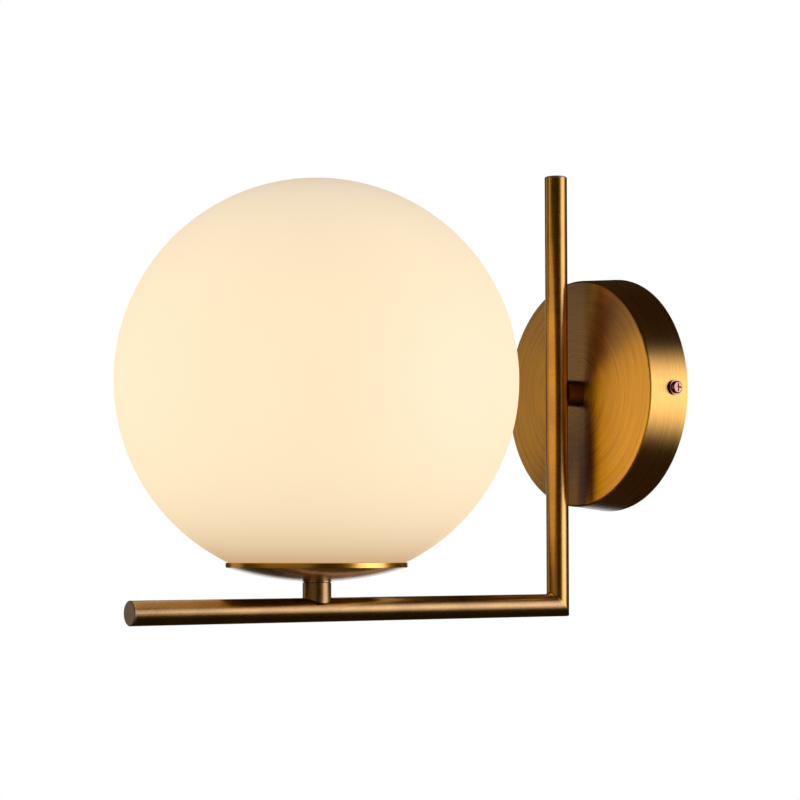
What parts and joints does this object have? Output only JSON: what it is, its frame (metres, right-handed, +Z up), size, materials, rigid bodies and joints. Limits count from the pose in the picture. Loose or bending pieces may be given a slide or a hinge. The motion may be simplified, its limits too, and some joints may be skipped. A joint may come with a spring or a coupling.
{
  "type": "globe wall sconce",
  "caption": "Wall light: round brass canopy, L-shaped frame of round brass rod, and an opal glass globe on a small dish above the lower rod.",
  "frame": {"origin": "centre of the wall-screw slots and of the canopy's rear rim, on the wall plane", "axes": "+Y into the wall, so the room is on the -Y side; +Z up; +X to the right for someone who faces the wall"},
  "size_m": [0.2, 0.2892, 0.2359],
  "materials": {
    "rod_brass": "antique brass tube, satin, lacquered",
    "cap_brass": "antique brass, matt turned end",
    "canopy_brass": "antique brass, turned brushing on the face, ring brushing on the side",
    "dish_brass": "antique brass, polished",
    "screw_bronze": "bronzed steel screw",
    "opal_glass": "satin opal, mouth-blown",
    "zinc_steel": "zinc plated",
    "contact_brass": "bare brass",
    "white_nylon": "moulded, satin",
    "black_thermoset": "moulded, semi-gloss",
    "dark_fibre": "vulcanised fibre",
    "silicone": "soft silicone",
    "porcelain": "glazed",
    "nickel_shell": "nickel plated, rolled thread",
    "bulb_housing": "white moulded housing",
    "bulb_diffuser": "frosted diffuser",
    "led_board_white": "white solder mask on aluminium",
    "brown_sleeve": "PVC insulation",
    "blue_sleeve": "PVC insulation",
    "green_yellow_sleeve": "striped PVC insulation"
  },
  "bodies": {
    "lamp_frame": {"wall_bracket": "zinc_steel", "side_screws": "screw_bronze", "terminal_block": "white_nylon", "terminal_barrels": "contact_brass", "terminal_screws": "zinc_steel", "block_screw": "zinc_steel", "earth_screw": "contact_brass", "earth_lug": "zinc_steel", "canopy": "canopy_brass", "canopy_nipple": "contact_brass", "canopy_nut": "zinc_steel", "canopy_lock_washer": "zinc_steel", "nipple_bush": "white_nylon", "stub": "rod_brass", "vertical_rod": "rod_brass", "vertical_rod_cap": "cap_brass", "horizontal_rod": "rod_brass", "horizontal_rod_cap": "cap_brass", "stem": "rod_brass", "stem_washer": "dark_fibre", "stem_nipple": "contact_brass", "dish": "dish_brass", "fitter_cup": "zinc_steel", "dish_washer": "zinc_steel", "dish_nut": "zinc_steel", "holder_base": "black_thermoset", "holder_skirt": "black_thermoset", "holder_insulator": "porcelain", "holder_thread_shell": "contact_brass", "holder_centre_contact": "contact_brass", "holder_terminals": "contact_brass", "holder_terminal_screws": "zinc_steel", "live_wire": "brown_sleeve", "neutral_wire": "blue_sleeve", "earth_wire": "green_yellow_sleeve"},
    "gasket": {"shade_gasket": "silicone"},
    "shade": {"globe_shade": "opal_glass", "neck_ring": "white_nylon"},
    "bulb": {"bulb_contact": "contact_brass", "bulb_insulator": "black_thermoset", "bulb_cap": "nickel_shell", "bulb_collar": "bulb_housing", "led_board": "led_board_white", "bulb_envelope": "bulb_diffuser"}
  },
  "joints": [
    {"name": "shade_turn", "type": "hinge", "parent": "lamp_frame", "child": "gasket", "pos_m": [0, -0.187, -0.09965], "axis": [0, 0, 1], "range_deg": [0, 540]},
    {"name": "shade_lift", "type": "slide", "parent": "gasket", "child": "shade", "axis": [0, 0, 1], "range_m": [0, 0.2]},
    {"name": "bulb_withdraw", "type": "slide", "parent": "lamp_frame", "child": "bulb", "axis": [0, 0, 1], "range_m": [0, 0.024]}
  ]
}
